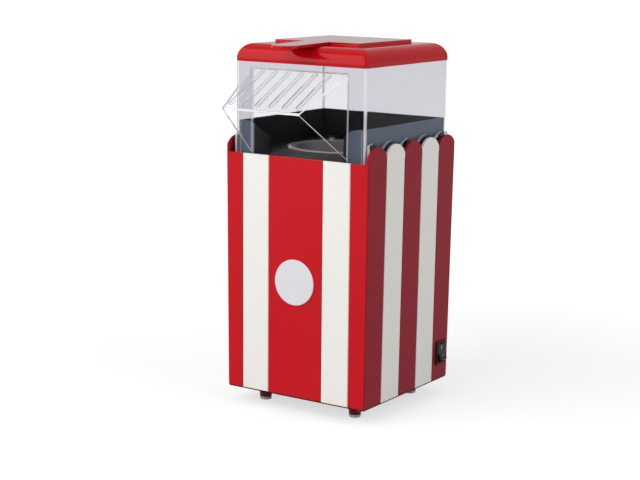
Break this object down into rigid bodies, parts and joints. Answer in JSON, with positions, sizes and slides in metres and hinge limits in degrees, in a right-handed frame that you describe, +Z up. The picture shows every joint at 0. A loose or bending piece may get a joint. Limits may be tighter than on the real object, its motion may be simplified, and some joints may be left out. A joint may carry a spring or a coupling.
{
  "type": "popcorn maker",
  "caption": "Upright hot-air popcorn maker with a striped square housing, clear lift-off hood with a front chute, red cap and a measuring cup that closes the fill opening.",
  "frame": {"origin": "on the surface it stands on, midway between the feet and under the popping chamber's axis", "axes": "+Z up, -Y towards the front where the popcorn comes out, +X towards the side with the power switch"},
  "size_m": [0.1466, 0.197, 0.315],
  "materials": {
    "shell_red": "gloss",
    "foot_red": "satin",
    "base_black": "matte",
    "pad_grey": "matte",
    "badge_white": "satin",
    "switch_black": "satin",
    "rocker_black": "gloss",
    "terminal_brass": "satin",
    "gland_black": "matte",
    "motor_steel": "satin",
    "bush_bronze": "satin",
    "magnet_dark": "matte",
    "armature_copper": "satin",
    "shaft_steel": "polished",
    "bracket_steel": "satin",
    "screw_zinc": "satin",
    "fan_plastic": "matte",
    "impeller_plastic": "satin",
    "heater_steel": "satin",
    "mica": "satin",
    "heater_wire": "satin",
    "seal_silicone": "matte",
    "thermostat_black": "satin",
    "chamber_aluminium": "satin",
    "tray_grey": "satin",
    "hood_clear": "gloss",
    "cap_red": "gloss",
    "board_green": "satin",
    "diode_black": "satin"
  },
  "bodies": {
    "base": {"housing_shell": "shell_red", "base_cover": "base_black", "feet": "foot_red", "foot_pads": "pad_grey", "base_screws": "screw_zinc", "badge_disc": "badge_white", "switch_housing": "switch_black", "switch_terminals": "terminal_brass", "cord_gland": "gland_black", "gland_nut": "gland_black", "motor_can": "motor_steel", "motor_bushes": "bush_bronze", "motor_magnets": "magnet_dark", "motor_bracket": "bracket_steel", "motor_screws": "screw_zinc", "bracket_screws": "screw_zinc", "fan_housing": "fan_plastic", "fan_screws": "screw_zinc", "heater_can": "heater_steel", "chamber_seal": "seal_silicone", "heater_plate": "mica", "mica_frame": "mica", "heating_coil": "heater_wire", "thermostat": "thermostat_black", "thermal_fuse": "screw_zinc", "popping_chamber": "chamber_aluminium", "chamber_screws": "screw_zinc", "chute_tray": "tray_grey", "tray_screws": "screw_zinc", "rectifier_board": "board_green", "rectifier_diodes": "diode_black"},
    "hood": {"clear_hood": "hood_clear", "hood_cap": "cap_red"},
    "cup": {"measuring_cup": "cap_red"},
    "rotor": {"motor_shaft": "shaft_steel", "motor_armature": "armature_copper", "impeller": "impeller_plastic"},
    "rocker": {"rocker": "rocker_black"}
  },
  "joints": [
    {"name": "hood_lift", "type": "slide", "parent": "base", "child": "hood", "axis": [0, 0, 1], "range_m": [0, 0.09]},
    {"name": "cup_lift", "type": "slide", "parent": "hood", "child": "cup", "axis": [0, 0, 1], "range_m": [0, 0.06]},
    {"name": "fan_spin", "type": "hinge", "parent": "base", "child": "rotor", "pos_m": [0, 0, 0.045], "axis": [0, 0, 1], "continuous": true},
    {"name": "rocker_tilt", "type": "hinge", "parent": "base", "child": "rocker", "pos_m": [0.06905, 0.056, 0.0388], "axis": [0, 1, 0], "range_deg": [0, 24]}
  ]
}
